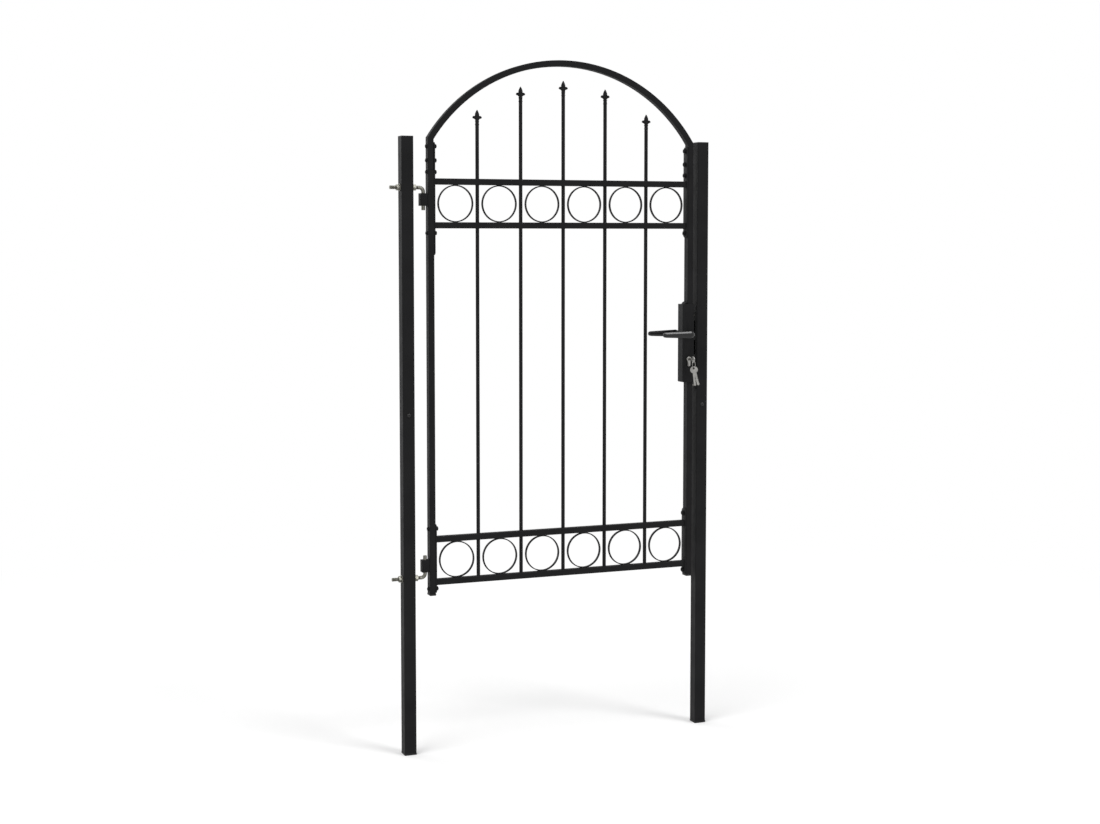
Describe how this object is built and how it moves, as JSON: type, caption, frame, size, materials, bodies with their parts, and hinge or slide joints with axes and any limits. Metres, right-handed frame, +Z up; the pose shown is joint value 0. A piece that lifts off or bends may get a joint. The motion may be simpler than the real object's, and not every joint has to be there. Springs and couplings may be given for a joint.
{
  "type": "steel garden gate",
  "caption": "Single-leaf steel garden gate with an arched top, ring bands and spear-tipped pickets, hung on pintles between square posts, with a lever lock and keys.",
  "frame": {"origin": "centre of the hinge post's foot, on its underside", "axes": "+X along the gate from the hinge post to the lock post, +Y the side the leaf opens to, +Z up"},
  "size_m": [1.1206, 0.1352, 2.257],
  "materials": {
    "black_powder_coat": "satin black powder coat",
    "black_plastic": "matt black moulded plastic",
    "zinc_plated_steel": "zinc plated, slightly dull",
    "nickel_plate": "nickel plated, bright",
    "lever_metal": "dark grey coat with a sheen"
  },
  "bodies": {
    "posts": {"hinge_post": "black_powder_coat", "lock_post": "black_powder_coat", "hinge_post_cap": "black_plastic", "lock_post_cap": "black_plastic", "hinge_post_foot": "black_plastic", "lock_post_foot": "black_plastic", "upper_pintle": "zinc_plated_steel", "lower_pintle": "zinc_plated_steel", "pintle_nuts": "zinc_plated_steel", "pintle_washers": "zinc_plated_steel", "strike_plate": "black_powder_coat"},
    "leaf": {"hinge_stile": "black_powder_coat", "lock_stile": "black_powder_coat", "hinge_stile_cap": "black_plastic", "lock_stile_cap": "black_plastic", "arch": "black_powder_coat", "arch_legs": "black_powder_coat", "upper_hinge_plate": "black_powder_coat", "upper_lock_plate": "black_powder_coat", "lower_hinge_plate": "black_powder_coat", "lower_lock_plate": "black_powder_coat", "bottom_rail": "black_powder_coat", "lower_band_rail": "black_powder_coat", "upper_band_rail": "black_powder_coat", "top_rail": "black_powder_coat", "upper_rings": "black_powder_coat", "lower_rings": "black_powder_coat", "picket_1": "black_powder_coat", "picket_2": "black_powder_coat", "picket_3": "black_powder_coat", "picket_4": "black_powder_coat", "picket_5": "black_powder_coat", "finials": "black_powder_coat", "upper_hinge_block": "black_powder_coat", "lower_hinge_block": "black_powder_coat", "lock_case": "black_powder_coat", "lock_forend": "nickel_plate", "lock_bolts": "nickel_plate", "lock_cylinder": "nickel_plate", "lock_key": "nickel_plate", "key_ring": "nickel_plate", "spare_keys": "nickel_plate"},
    "levers": {"front_lever": "lever_metal", "back_lever": "lever_metal", "spindle": "zinc_plated_steel"}
  },
  "joints": [
    {"name": "gate_swing", "type": "hinge", "parent": "posts", "child": "leaf", "pos_m": [0.0575, 0, 0.617], "axis": [0, 0, 1], "range_deg": [0, 100]},
    {"name": "lever_turn", "type": "hinge", "parent": "leaf", "child": "levers", "pos_m": [0.9945, 0, 1.35], "axis": [0, -1, 0], "range_deg": [0, 40], "stiffness_Nm_per_rad": 1.2, "springref_deg": -34.38}
  ]
}
